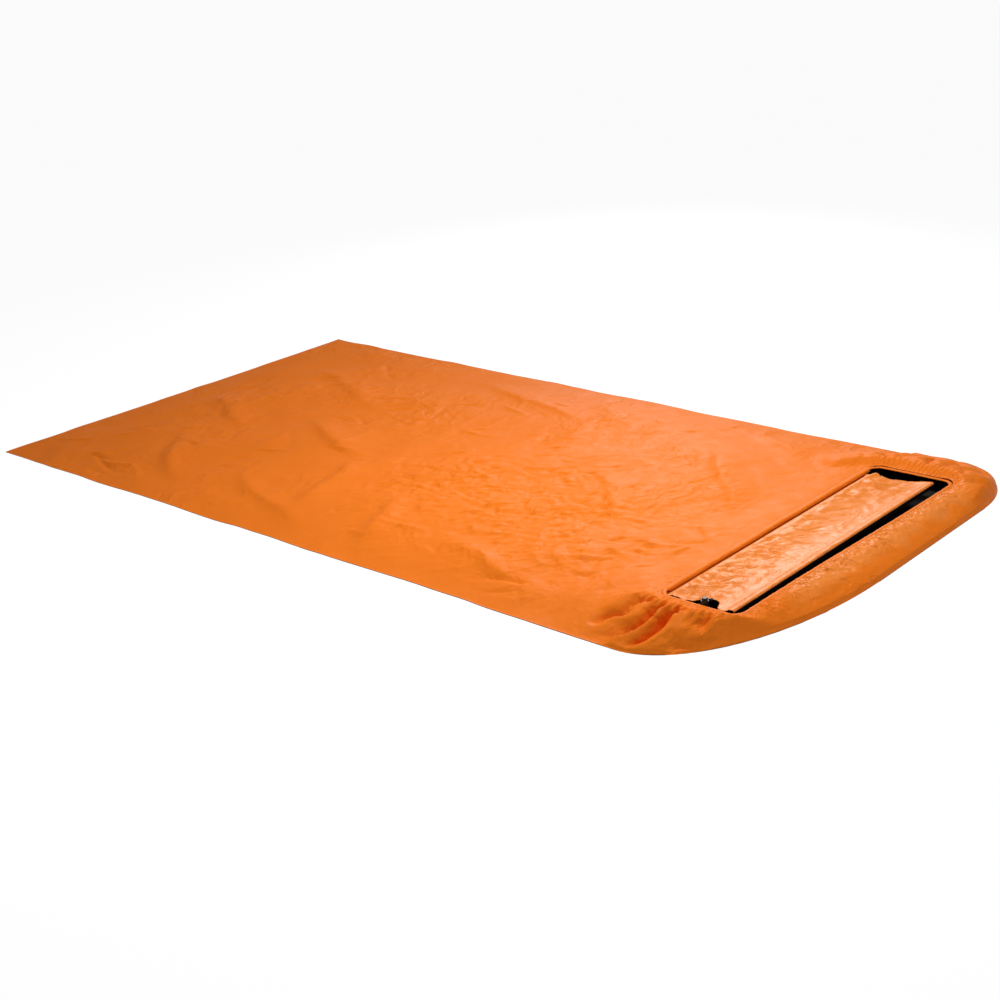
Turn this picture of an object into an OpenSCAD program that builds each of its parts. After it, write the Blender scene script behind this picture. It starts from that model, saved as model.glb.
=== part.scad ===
// Two-person bivy sack, laid out flat with its gathered mouth at the head end.
// X runs from the foot to the head, Y across the sack, Z up. The origin is at
// the middle of the underside of the floor sheet's box.

/* [Sack] */
// Length of the sack as it lies
sack_l = 2400; // [2200:10:2600]
// Width of the sack as it lies
sack_w = 1300; // [1200:10:1400]
// Thickness of every fabric sheet
sheet_t = 1; // [0.8:0.1:1.2]
// Height of the top sheet's crown, and of the mouth's casing
crown_h = 36; // [34:1:40]
// Distance from the seam over which the top sheet rises
rise_w = 150; // [110:5:180]
// Width of the flat seam where the sheets are sewn together
seam_w = 12; // [10:1:16]
// Height of the bunched cheeks beside the mouth
cheek_h = 62; // [52:1:70]

/* [Mouth] */
// Distance of the top sheet's hem from the head end
hem_back = 305; // [280:5:330]
// Length of the mouth, from the hem to the hood's lip
mouth_l = 205; // [195:5:215]
// Width of the mouth between its cheeks
mouth_w = 900; // [880:5:920]
// Width of the folded casing round the mouth
casing_w = 10; // [9:0.5:12]
// Height of the casing
casing_h = 8; // [7:0.5:9]
// Radius of the casing's corners, to its middle
casing_corner = 30; // [24:1:40]

/* [Drawcord] */
// Diameter of the elastic drawcord
cord_d = 2.8; // [2.2:0.1:3]
// Place of the cord's exit, from the hem
exit_from_hem = 105; // [80:5:120]

/* [Cord lock] */
// Radius of the cord lock's barrel
barrel_r = 8.5; // [8.3:0.1:9]
// Height of the barrel
barrel_h = 18; // [17:0.5:20]
// Radius of the plunger
plunger_r = 6.3; // [6:0.1:6.4]
// How far the plunger travels when it is pressed
press_travel = 3; // [2:0.5:3]
// How far the lock slides on the cord's ends
lock_travel = 8; // [4:1:8]

/* [Storm flap] */
// Width of the storm flap across the mouth
flap_w = 814; // [780:2:820]
// Radius of the hem along the flap's free edge
flap_hem_r = 5; // [4:0.5:5.5]
// Gap between the flap's free edge and the hood's lip
slot_w = 20; // [16:1:26]

/* [Hidden] */
$fn = 48;

shell_orange = "darkorange";
gloss_orange = "orange";
tape_grey = "dimgray";
cord_black = "black";

half_l = sack_l / 2;
half_w = sack_w / 2;
casing_z = crown_h;
hem_x = half_l - hem_back;              // middle of the casing on the top sheet's hem
lip_x = hem_x + mouth_l;                // middle of the casing on the hood's lip
side_y = mouth_w / 2;                   // middle of the casing on each cheek
seam_x = hem_x - casing_w / 2;          // line on which the hood is sewn to the top sheet
corner_x0 = hem_x + casing_corner;      // middles of the casing's corners
corner_x1 = lip_x - casing_corner;
corner_y = side_y - casing_corner;
sewn_gap = 0.12;                        // keeps a facetted sheet clear of the round casing
near_cut = [270, 580];                  // the near head corner is drawn in by the cord
far_cut = [170, 230];                   // the far head corner is only rounded
arc_n = 10;
hem_arc_n = 9;
run_n = 5;
head_n = 6;

// Cord exit and cord lock
exit_x = hem_x + exit_from_hem;
cord_r = cord_d / 2;
bore_r = 2;
pair_x = 1.6;                           // half the distance between the two cord ends
bend_r = 4;
pocket_l = 22;
eyelet_t = 1.5;
inner_face_y = -side_y + casing_w / 2;
eyelet_size = [11, 7];
slot_size = [7.2, 3.6];
barrel_y = inner_face_y + eyelet_t + barrel_r + 0.5;
barrel_floor_t = 1.5;
window_h = 6;                           // height of the cord window in barrel and plunger
window_z = 6;                           // bottom of the barrel's window, from its base
grip_z = window_z + window_h - 1.5;     // middle of the cord, gripped at the window's top
barrel_z = casing_z - grip_z;
plunger_clear = 0.08;
plunger_z = barrel_z + window_z + press_travel - 1;
plunger_h = 16;
plunger_dome = 2;
bead_y = barrel_y + barrel_r + lock_travel + 0.5;
bead_l = 9;
bead_r = 4;
spring_wire = 0.5;
spring_r = 4.4;
spring_turns = 3;

// Storm flap: a bent sheet that is sewn under the hem and folds about the casing
flap_t = sheet_t;
flap_near_y = -404;
fold_r = 6.7;                           // the flap's root stays this far from the fold line
root_l = 8;                             // length of the root along the hem
flap_lift = 2;                          // of the flap's top above the middle of the casing
flap_bend_x = hem_x + 42;
flap_edge_x = lip_x - casing_w / 2 - slot_w - flap_hem_r;
elastic_r = 2;
elastic_bore = 2.4;

function lerp(a, b, u) = a + (b - a) * u;
function steps(n) = [for (i = [0:n]) i / n];

// How high a sheet stands, from 0 to 1, at a distance from its seam
function rise(d, over) = sin(90 * max(0, min(d / over, 1)));

// How far the floor's outline reaches across the sack at x, and along it at y
function side_reach(x, cut) = half_w - cut.y
    + cut.y * sqrt(1 - pow(max(0, x - half_l + cut.x) / cut.x, 2));
function head_reach(y, cut) = half_l - cut.x
    + cut.x * sqrt(1 - pow(max(0, y - half_w + cut.y) / cut.y, 2));

// Distance to the floor's outline from the middle of the casing's corner, in the direction d
function corner_reach(d, cut) = let (
    e = [(corner_x1 - half_l + cut.x) / cut.x, (corner_y - half_w + cut.y) / cut.y],
    f = [d.x / cut.x, d.y / cut.y]
) (sqrt(pow(e * f, 2) - (f * f) * (e * e - 1)) - e * f) / (f * f);

// Pairs of points on the floor's outline and on the casing's outer edge, from the hood's
// seam to the middle of the head, on one half of the sack
function half_path(cut) = let (r = casing_corner + casing_w / 2 + sewn_gap) concat(
    [for (u = steps(hem_arc_n)) let (x = lerp(seam_x, corner_x0, u))
        [[x, side_reach(x, cut)], [corner_x0 - r * cos(90 * u), corner_y + r * sin(90 * u)]]],
    [for (i = [1:run_n]) let (x = lerp(corner_x0, corner_x1, i / run_n))
        [[x, side_reach(x, cut)], [x, corner_y + r]]],
    [for (i = [1:arc_n]) let (a = 90 - 90 * i / arc_n, d = [cos(a), sin(a)])
        [[corner_x1, corner_y] + d * corner_reach(d, cut), [corner_x1, corner_y] + d * r]],
    [for (i = [1:head_n]) let (y = corner_y * (1 - i / head_n))
        [[head_reach(y, cut), y], [corner_x1 + r, y]]]
);

near_half = half_path(near_cut);
far_half = half_path(far_cut);
half_n = len(far_half) - 1;
outer = concat([for (p = near_half) [p[0].x, -p[0].y]],
    [for (i = [half_n - 1:-1:0]) far_half[i][0]]);
inner = concat([for (p = near_half) [p[1].x, -p[1].y]],
    [for (i = [half_n - 1:-1:0]) far_half[i][1]]);
cheek_n = hem_arc_n + run_n + arc_n;    // steps of the paths that belong to one cheek
hood_n = len(outer) - 1;
hood_j = 8;

function inward(i) = (inner[i] - outer[i]) / norm(inner[i] - outer[i]);

// How much of the cheek's bulge a station of the hood has
function cheek_share(i) =
    i < cheek_n ? sin(180 * i / cheek_n)
    : i > hood_n - cheek_n ? sin(180 * (hood_n - i) / cheek_n)
    : 0;

function hood_point(i, j) = let (
    run = norm(inner[i] - outer[i]) - seam_w,
    u = max(0, (j - 1) / (hood_j - 1)),
    p = outer[i] + inward(i) * (j == 0 ? 0 : seam_w + run * u),
    lift = rise(u * run, min(rise_w, 0.82 * run)),
    bulge = (cheek_h - crown_h) * cheek_share(i) * pow(sin(180 * u), 1.4)
) [p.x, p.y, 2 * sheet_t + (crown_h + sheet_t / 2 - 2 * sheet_t) * lift + bulge];

function top_z(x, y) = 2 * sheet_t + (crown_h + sheet_t / 2 - 2 * sheet_t)
    * rise(x + half_l - seam_w, rise_w) * rise(half_w - seam_w - abs(y), rise_w);

// A closed sheet below a grid of points, t thick
module sheet(grid, t) {
    ni = len(grid);
    nj = len(grid[0]);
    n = ni * nj;
    top = [for (row = grid) for (p = row) p];
    under = [for (p = top) p - [0, 0, t]];
    cells = [for (i = [0:ni - 2]) for (j = [0:nj - 2]) let (a = i * nj + j)
        [a, a + 1, a + nj + 1, a + nj]];
    rim = concat([for (j = [0:nj - 1]) j],
        [for (i = [1:ni - 1]) i * nj + nj - 1],
        [for (j = [nj - 2:-1:0]) (ni - 1) * nj + j],
        [for (i = [ni - 2:-1:1]) i * nj]);
    polyhedron(concat(top, under), concat(
        [for (c = cells) [c[0], c[1], c[2]]],
        [for (c = cells) [c[0], c[2], c[3]]],
        [for (c = cells) [c[2] + n, c[1] + n, c[0] + n]],
        [for (c = cells) [c[3] + n, c[2] + n, c[0] + n]],
        [for (k = [0:len(rim) - 1]) let (a = rim[k], b = rim[(k + 1) % len(rim)])
            [b, a, a + n]],
        [for (k = [0:len(rim) - 1]) let (a = rim[k], b = rim[(k + 1) % len(rim)])
            [b, a + n, b + n]]));
}

module floor_panel() {
    color(shell_orange)
        linear_extrude(sheet_t)
            polygon(concat(outer, [[-half_l, half_w], [-half_l, -half_w]]));
}

// Distances from its edge at which the top sheet bends
sheet_bends = [0, seam_w, seam_w + 25, seam_w + 60, seam_w + 100, seam_w + rise_w];

module top_panel() {
    xs = concat([for (d = sheet_bends) -half_l + d],
        [for (i = [1:10]) lerp(-half_l + seam_w + rise_w, seam_x - sewn_gap, i / 10)]);
    ys = concat([for (d = sheet_bends) -half_w + d],
        [for (i = [1:7]) lerp(-half_w + seam_w + rise_w, half_w - seam_w - rise_w, i / 8)],
        [for (k = [len(sheet_bends) - 1:-1:0]) half_w - sheet_bends[k]]);
    color(shell_orange)
        sheet([for (x = xs) [for (y = ys) [x, y, top_z(x, y)]]], sheet_t);
}

module hood_panel() {
    color(shell_orange)
        sheet([for (i = [0:hood_n]) [for (j = [0:hood_j]) hood_point(i, j)]], sheet_t);
}

// Heat-sealed tape on the inside of the seams
tape_w = 20;
tape_t = 0.3;
tape_in = seam_w + 5;
tape_end = 45;                          // distance of a tape's end from the corner of the sack

module side_tape(side) {
    color(tape_grey)
        translate([-half_l + tape_end, side * (half_w - tape_in - tape_w / 2) - tape_w / 2, sheet_t])
            cube([seam_x - 14 + half_l - tape_end, tape_w, tape_t]);
}

module foot_seam_tape() {
    color(tape_grey)
        translate([-half_l + tape_in, -half_w + tape_end, sheet_t])
            cube([tape_w, sack_w - 2 * tape_end, tape_t]);
}

module head_seam_tape() {
    first = 3;
    color(tape_grey)
        translate([0, 0, sheet_t])
            linear_extrude(tape_t)
                polygon(concat(
                    [for (i = [first:hood_n - first]) outer[i] + inward(i) * tape_in],
                    [for (i = [hood_n - first:-1:first]) outer[i] + inward(i) * (tape_in + tape_w)]));
}

// The tape bends where the top sheet does, and ends short of the casing
module hood_seam_tape(side) {
    places = concat([for (k = [2:len(sheet_bends) - 1]) sheet_bends[k]], [half_w - side_y - 18]);
    n = len(places) - 1;
    under_gap = 0.1;
    color(tape_grey)
        sheet([for (x = [-tape_w / 2, tape_w / 2]) [for (k = [0:n])
            let (y = side * (half_w - places[side > 0 ? n - k : k]))
            [seam_x + x, y, top_z(seam_x, y) - sheet_t - under_gap]]], tape_t);
}

// Section of the folded casing, with the cord's tunnel
module casing_section() {
    w = casing_w / 2;
    h = casing_h / 2;
    c = 2;
    difference() {
        polygon([[-w, -h + c], [-w + c, -h], [w - c, -h], [w, -h + c],
            [w, h - c], [w - c, h], [-w + c, h], [-w, h - c]]);
        circle(r = bore_r);
    }
}

// A straight run from the point p, along +Y turned by the angle a, around a section
module run_y(p, l, a = 0) {
    translate([p.x, p.y, casing_z])
        rotate([0, 0, a])
            rotate([-90, 0, 0])
                linear_extrude(l) children();
}

// A quarter turn of a section round the point p, from the angle a
module quarter(p, r, a) {
    translate([p.x, p.y, casing_z])
        rotate([0, 0, a])
            rotate_extrude(angle = 90)
                translate([r, 0]) children();
}

module hem_casing() {
    color(shell_orange)
        run_y([hem_x, -corner_y], 2 * corner_y) casing_section();
}

module hood_casing() {
    color(shell_orange)
        difference() {
            union() {
                quarter([corner_x0, -corner_y], casing_corner, 180) casing_section();
                run_y([corner_x1, -side_y], corner_x1 - corner_x0, 90) casing_section();
                quarter([corner_x1, -corner_y], casing_corner, 270) casing_section();
                run_y([lip_x, -corner_y], 2 * corner_y) casing_section();
                quarter([corner_x1, corner_y], casing_corner, 0) casing_section();
                run_y([corner_x1, side_y], corner_x1 - corner_x0, 90) casing_section();
                quarter([corner_x0, corner_y], casing_corner, 90) casing_section();
            }
            // room for the two cord ends to turn inwards
            translate([exit_x - pocket_l / 2, -side_y - bore_r, casing_z - slot_size.y / 2])
                cube([pocket_l, bore_r + 1, slot_size.y]);
            translate([exit_x - slot_size.x / 2, -side_y, casing_z - slot_size.y / 2])
                cube([slot_size.x, casing_w, slot_size.y]);
        }
}

module drawcord() {
    turn_x = pair_x + bend_r;
    bead_depth = 7;
    tail_l = bead_y + bead_depth + side_y - bend_r;
    color(cord_black) {
        run_y([hem_x, -corner_y], 2 * corner_y) circle(r = cord_r);
        run_y([lip_x, -corner_y], 2 * corner_y) circle(r = cord_r);
        run_y([corner_x1, side_y], corner_x1 - corner_x0, 90) circle(r = cord_r);
        run_y([exit_x - turn_x, -side_y], exit_x - turn_x - corner_x0, 90) circle(r = cord_r);
        run_y([corner_x1, -side_y], corner_x1 - exit_x - turn_x, 90) circle(r = cord_r);
        quarter([corner_x0, -corner_y], casing_corner, 180) circle(r = cord_r);
        quarter([corner_x1, -corner_y], casing_corner, 270) circle(r = cord_r);
        quarter([corner_x1, corner_y], casing_corner, 0) circle(r = cord_r);
        quarter([corner_x0, corner_y], casing_corner, 90) circle(r = cord_r);
        quarter([exit_x - turn_x, -side_y + bend_r], bend_r, 270) circle(r = cord_r);
        quarter([exit_x + turn_x, -side_y + bend_r], bend_r, 180) circle(r = cord_r);
        for (side = [-1, 1])
            run_y([exit_x + side * pair_x, -side_y + bend_r], tail_l) circle(r = cord_r);
    }
}

// A flat oval, wide along X
module oval(size) {
    r = size.y / 2;
    square([size.x - size.y, size.y], center = true);
    for (side = [-1, 1])
        translate([side * (size.x / 2 - r), 0])
            circle(r = r);
}

module cord_exit_eyelet() {
    color(cord_black)
        run_y([exit_x, inner_face_y], eyelet_t)
            difference() {
                oval(eyelet_size);
                oval(slot_size);
            }
}

// The cord's window through the lock, w wide along X, from the height z
module cord_window(z, reach) {
    translate([exit_x - slot_size.x / 2, barrel_y - reach, z])
        cube([slot_size.x, 2 * reach, window_h]);
}

module cord_lock_barrel() {
    rim = 1.2;
    color(cord_black)
        difference() {
            translate([exit_x, barrel_y, barrel_z])
                rotate_extrude()
                    polygon([[0, 0], [barrel_r - rim, 0], [barrel_r, rim],
                        [barrel_r, barrel_h - rim], [barrel_r - rim / 2, barrel_h], [0, barrel_h]]);
            translate([exit_x, barrel_y, barrel_z + barrel_floor_t])
                cylinder(r = plunger_r + plunger_clear, h = barrel_h);
            cord_window(barrel_z + window_z, barrel_r + 1);
        }
}

module cord_lock_plunger() {
    color(cord_black)
        difference() {
            translate([exit_x, barrel_y, plunger_z])
                rotate_extrude()
                    polygon([[0, 0], [plunger_r, 0], [plunger_r, plunger_h - plunger_dome],
                        [plunger_r - 1.6, plunger_h], [0, plunger_h]]);
            cord_window(plunger_z + 1, barrel_r + 1);
        }
}

// A coil under the plunger, swept as rings of points round its wire
module cord_lock_spring() {
    sides = 8;
    per_turn = 16;
    n = spring_turns * per_turn;
    low = barrel_z + barrel_floor_t + spring_wire + 0.1;
    high = plunger_z - spring_wire - 0.1;
    points = [for (i = [0:n]) for (k = [0:sides - 1])
        let (a = 360 * i / per_turn, b = 360 * k / sides, r = spring_r + spring_wire * cos(b))
        [exit_x + r * cos(a), barrel_y + r * sin(a), lerp(low, high, i / n) + spring_wire * sin(b)]];
    color("silver")
        polyhedron(points, concat(
            [[for (k = [0:sides - 1]) k]],
            [for (i = [0:n - 1]) for (k = [0:sides - 1]) let (k2 = (k + 1) % sides)
                [i * sides + k, (i + 1) * sides + k, (i + 1) * sides + k2, i * sides + k2]],
            [[for (k = [sides - 1:-1:0]) n * sides + k]]));
}

module cord_end_bead() {
    depth = 7.2;
    color(cord_black)
        difference() {
            translate([exit_x, bead_y, casing_z])
                rotate([-90, 0, 0])
                    rotate_extrude()
                        polygon([[0, 0], [bead_r - 0.6, 0], [bead_r, 1], [bead_r, bead_l - 2.5],
                            [bead_r - 1.5, bead_l], [0, bead_l]]);
            for (side = [-1, 1])
                translate([exit_x + side * pair_x, bead_y - 1, casing_z])
                    rotate([-90, 0, 0])
                        cylinder(r = cord_r + 0.05, h = depth + 1);
        }
}

// The flap's sheet in X and Z, from the fold line: root, bend and flat, sewn to its hem
module flap_section() {
    bend = flap_bend_x - hem_x;
    sewn = flap_edge_x - hem_x - (flap_hem_r + elastic_bore) / 2;
    polygon([[0, -fold_r], [root_l, -fold_r], [bend, flap_lift], [sewn, flap_lift],
        [sewn, flap_lift - flap_t], [bend, flap_lift - flap_t], [root_l, -fold_r - flap_t],
        [0, -fold_r - flap_t]]);
}

// A cylinder along the flap's free edge, r in radius and short of each end by gap
module along_edge(r, gap = 0) {
    translate([flap_edge_x, flap_near_y + gap, casing_z + flap_lift - flap_t / 2])
        rotate([-90, 0, 0])
            cylinder(r = r, h = flap_w - 2 * gap);
}

module storm_flap() {
    color(gloss_orange)
        difference() {
            union() {
                translate([hem_x, flap_near_y + flap_w, casing_z])
                    rotate([90, 0, 0])
                        linear_extrude(flap_w) flap_section();
                along_edge(flap_hem_r);
            }
            along_edge(elastic_bore, -1);
        }
}

module flap_root_tape() {
    tape = [8, 1];
    color(shell_orange)
        translate([hem_x - tape.x / 2, flap_near_y, casing_z - casing_h / 2 - tape.y])
            cube([tape.x, flap_w, tape.y]);
}

module flap_edge_elastic() {
    color(cord_black) along_edge(elastic_r, 2);
}

floor_panel();
top_panel();
hood_panel();
side_tape(-1);  // near_seam_tape
side_tape(1);  // far_seam_tape
foot_seam_tape();
head_seam_tape();
hood_seam_tape(-1);  // near_hood_seam_tape
hood_seam_tape(1);  // far_hood_seam_tape
hem_casing();
hood_casing();
drawcord();
cord_exit_eyelet();
cord_lock_barrel();
cord_lock_plunger();
cord_lock_spring();
cord_end_bead();
storm_flap();
flap_root_tape();
flap_edge_elastic();
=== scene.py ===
"""Two-person bivy sack, laid flat with its gathered mouth at the head end. Lengths are in metres."""

import math

import bpy
import numpy as np
from mathutils import Euler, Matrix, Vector


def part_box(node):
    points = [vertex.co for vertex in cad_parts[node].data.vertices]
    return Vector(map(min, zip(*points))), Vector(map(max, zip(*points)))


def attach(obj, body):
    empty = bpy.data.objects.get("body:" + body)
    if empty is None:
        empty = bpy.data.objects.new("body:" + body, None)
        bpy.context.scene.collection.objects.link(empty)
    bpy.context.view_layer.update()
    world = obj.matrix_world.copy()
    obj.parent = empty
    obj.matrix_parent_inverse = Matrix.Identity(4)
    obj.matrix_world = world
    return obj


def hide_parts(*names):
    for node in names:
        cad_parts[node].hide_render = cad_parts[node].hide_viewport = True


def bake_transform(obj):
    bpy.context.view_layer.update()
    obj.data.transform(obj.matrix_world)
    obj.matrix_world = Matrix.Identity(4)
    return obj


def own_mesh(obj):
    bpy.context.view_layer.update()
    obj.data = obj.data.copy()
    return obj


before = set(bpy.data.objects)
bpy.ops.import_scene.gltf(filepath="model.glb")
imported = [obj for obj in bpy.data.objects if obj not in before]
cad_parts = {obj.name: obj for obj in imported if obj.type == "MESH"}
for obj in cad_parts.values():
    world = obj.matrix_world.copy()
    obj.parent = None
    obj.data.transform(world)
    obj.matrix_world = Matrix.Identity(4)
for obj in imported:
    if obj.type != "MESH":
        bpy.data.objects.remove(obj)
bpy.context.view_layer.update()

# ---------------- sizes, from the frame

MM = 0.001
floor_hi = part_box("floor_panel")[1]
hem_lo, hem_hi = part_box("hem_casing")
ring_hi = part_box("hood_casing")[1]
flap_lo, flap_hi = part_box("storm_flap")
elastic_lo, elastic_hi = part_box("flap_edge_elastic")
cord_lo, cord_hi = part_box("drawcord")
barrel_lo, barrel_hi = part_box("cord_lock_barrel")
spring_lo, spring_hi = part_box("cord_lock_spring")
tape_lo, tape_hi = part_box("near_hood_seam_tape")

HALF_L = floor_hi[0]
HALF_W = floor_hi[1]
HEM_X = (hem_lo[0] + hem_hi[0]) / 2
CASING_W = hem_hi[0] - hem_lo[0]
CASING_Z = (hem_lo[2] + hem_hi[2]) / 2
CASING_H = hem_hi[2] - hem_lo[2]
LIP_X = ring_hi[0] - CASING_W / 2
SIDE_Y = ring_hi[1] - CASING_W / 2
SEAM_X = hem_lo[0]
RIDGE_X = (elastic_lo[0] + elastic_hi[0]) / 2
RIDGE_Z = (elastic_lo[2] + elastic_hi[2]) / 2
FLAP_HEM_R = 5 * MM
HEM_TOP = CASING_Z + 1.8 * MM
FLATTENED = 0.55  # how high a sewn casing lies, as a share of its height in the frame
CORD_R = (cord_hi[2] - cord_lo[2]) / 2

CLOTH_T = 0.8 * MM
FLAP_T = 0.6 * MM
TAPE_T = 0.25 * MM
FLOOR_TOP = floor_hi[2]
SEAM_TOP = FLOOR_TOP + 1.0 * MM
SEAM_W = 12 * MM
CORNER_R = 30 * MM  # of the casing round the mouth, to its middle
CORNER_X0 = HEM_X + CORNER_R
CORNER_X1 = LIP_X - CORNER_R
CORNER_Y = SIDE_Y - CORNER_R
NEAR_CUT = (0.270, 0.580)  # how far each of the head's corners is rounded, along X and Y
FAR_CUT = (0.170, 0.230)
LOCK_X = (barrel_lo[0] + barrel_hi[0]) / 2
NEAR_DRIFT = -8 * MM  # how far the gathered lip lies from its casing's line, along X, at each end
FAR_DRIFT = 9 * MM

# The crest of the cloth that bunches outside each end of the mouth, from the hem round to the lip
NEAR_CREST = np.array([
    (0.842, -0.446, 0.040), (0.866, -0.478, 0.052), (0.925, -0.503, 0.060), (1.000, -0.510, 0.062),
    (1.050, -0.506, 0.064), (1.090, -0.484, 0.058), (1.125, -0.446, 0.042), (1.165, -0.375, 0.020)])
FAR_CREST = np.array([
    (0.790, 0.380, 0.040), (0.850, 0.455, 0.052), (0.930, 0.492, 0.053), (1.000, 0.497, 0.053),
    (1.060, 0.492, 0.055), (1.115, 0.470, 0.056), (1.150, 0.420, 0.048), (1.165, 0.350, 0.036)])

# How far apart the folds and gathers of the cloth lie
PLEAT_PITCH = 50 * MM  # where it is bunched
RUFFLE_PITCH = 13.5 * MM  # between those folds and the mouth's casing
LIP_PITCH = 8.5 * MM
HEM_PITCH = 11.5 * MM
CASING_PITCH = 7.2 * MM

# How the edges of the sack wander from straight lines, and lift from the ground
SIDE_WANDER = 4.5 * MM
FOOT_WANDER = 4 * MM
EDGE_LIFT = 3.0 * MM

UP = np.array([0.0, 0.0, 1.0])


# ---------------- numbers into shapes

def lerp(a, b, u):
    return a + (b - a) * u


def smooth(lo, hi, x):
    u = np.clip((x - lo) / (hi - lo), 0, 1)
    return u * u * (3 - 2 * u)


def stacked(*coords):
    """Points from their coordinates, each an array or one number for all of them."""
    return np.stack(np.broadcast_arrays(*coords), -1)


def noise(x, y, seed):
    """Gradient noise with one cell per unit, between about -1 and 1."""
    size = 256
    angle = np.random.default_rng(seed).uniform(0, 2 * math.pi, (size, size))
    x, y = np.broadcast_arrays(np.asarray(x, float), np.asarray(y, float))
    xi, yi = np.floor(x).astype(int), np.floor(y).astype(int)
    fx, fy = x - xi, y - yi

    def corner(dx, dy):
        a = angle[(xi + dx) % size, (yi + dy) % size]
        return np.cos(a) * (fx - dx) + np.sin(a) * (fy - dy)

    u = fx**3 * (fx * (fx * 6 - 15) + 10)
    v = fy**3 * (fy * (fy * 6 - 15) + 10)
    return 1.5 * lerp(lerp(corner(0, 0), corner(1, 0), u), lerp(corner(0, 1), corner(1, 1), u), v)


def crumple(x, y, size, seed, folds=6):
    """Sharp creases between soft facets, as in handled cloth: folds of about one size across each other."""
    rng = np.random.default_rng(seed)
    total = 0
    for k in range(folds):
        a = rng.uniform(0, math.pi)
        wave = size * rng.uniform(0.7, 1.6)
        bend = noise(x / (2.6 * size), y / (2.6 * size), seed + 10 + k) * size * 1.3
        across = (x * math.cos(a) + y * math.sin(a) + bend) / wave + rng.uniform()
        share = smooth(0.0, 0.5, noise(x / (2.2 * size), y / (2.2 * size), seed + 30 + k))
        total = total + share * (2 * np.abs(across % 1 - 0.5) - 0.5) * wave / size
    return total


def creases(x, y, groups, seed, length, width, height, heading, turn, fan=0.7):
    """Sharp creases that fan out from points, as where cloth was gripped.

    groups: (x, y, how far its points scatter, how many points). heading: the way they mostly run.
    turn: how far a point's way scatters from that. fan: how far its creases spread from each other.
    """
    rng = np.random.default_rng(seed)
    total = np.zeros_like(x)
    for mid_x, mid_y, spread, count in groups:
        for _ in range(count):
            px, py = rng.normal((mid_x, mid_y), spread)
            towards = heading + rng.normal(0, turn) + math.pi * rng.integers(2)
            for _ in range(rng.integers(2, 6)):
                a = towards + rng.uniform(-fan, fan)
                reach = length * rng.uniform(0.35, 1.3)
                narrow = width * rng.uniform(0.6, 1.5)
                tall = height * rng.uniform(0.35, 1.0) * rng.choice((-1, 1))
                bow = rng.normal(0, 0.35) / reach
                near = (np.abs(x - px) < 1.4 * reach) & (np.abs(y - py) < 1.4 * reach)
                dx, dy = x[near] - px, y[near] - py
                along = dx * math.cos(a) + dy * math.sin(a)
                across = -dx * math.sin(a) + dy * math.cos(a) + bow * along * np.abs(along)
                u = along / reach
                window = smooth(-0.05, 0.12, u) * smooth(1.0, 0.35, u)
                widening = narrow * (0.6 + 1.2 * np.clip(u, 0, 1))
                total[near] += tall * window * np.exp(-np.abs(across) / widening)
    return total


def wobble(s, wave, seed):
    """Noise along a line, in one cell per wave."""
    return noise(np.asarray(s) / wave, 0.37 + 0 * np.asarray(s), seed)


# ---------------- meshes

def new_object(name, points, faces):
    mesh = bpy.data.meshes.new(name)
    mesh.from_pydata([tuple(p) for p in points], [], faces)
    mesh.update()
    obj = bpy.data.objects.new(name, mesh)
    bpy.context.scene.collection.objects.link(obj)
    return obj


def grid_faces(ni, nj, wrap=False):
    last = nj if wrap else nj - 1
    return [(i * nj + j, (i + 1) * nj + j, (i + 1) * nj + (j + 1) % nj, i * nj + (j + 1) % nj)
            for i in range(ni - 1) for j in range(last)]


def halved(faces):
    """Each four-sided face as two triangles, so that both sides of a sheet bend along the same line."""
    return [t for a, b, c, d in faces for t in ((a, b, c), (a, c, d))]


def grid_object(name, grid):
    """A sheet through a grid of points. It faces up where its indices run along X and then Y."""
    ni, nj = grid.shape[:2]
    return new_object(name, grid.reshape(-1, 3), grid_faces(ni, nj))


def normals_of(grid):
    along = np.gradient(grid, axis=0)
    across = np.gradient(grid, axis=1)
    n = np.cross(along, across)
    return n / np.maximum(np.linalg.norm(n, axis=-1, keepdims=True), 1e-12)


def finer(grid, at_i, at_j):
    """The points at the given places along each index of a grid, on smooth curves through its own."""
    for axis, at in ((0, at_i), (1, at_j)):
        g = np.moveaxis(grid, axis, 0)
        n = len(g)
        i = np.clip(np.floor(at).astype(int), 0, n - 2)
        t = (at - i)[:, None, None]
        p0, p1, p2, p3 = (g[np.clip(i + k, 0, n - 1)] for k in (-1, 0, 1, 2))
        g = 0.5 * (2 * p1 + (p2 - p0) * t + (2 * p0 - 5 * p1 + 4 * p2 - p3) * t**2
                   + (3 * p1 - p0 - 3 * p2 + p3) * t**3)
        grid = np.moveaxis(g, 0, axis)
    return grid


def places(n, steps):
    """Places along an index of n points, with steps from each to the next."""
    return np.linspace(0, n - 1, (n - 1) * steps + 1)


def soften(grid, times):
    """Evens out a grid's heights with their neighbours', its rim apart."""
    g = grid.copy()
    for _ in range(times):
        z = g[..., 2]
        z[1:-1, 1:-1] += 0.2 * (z[:-2, 1:-1] + z[2:, 1:-1] + z[1:-1, :-2] + z[1:-1, 2:] - 4 * z[1:-1, 1:-1])
    return g


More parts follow.
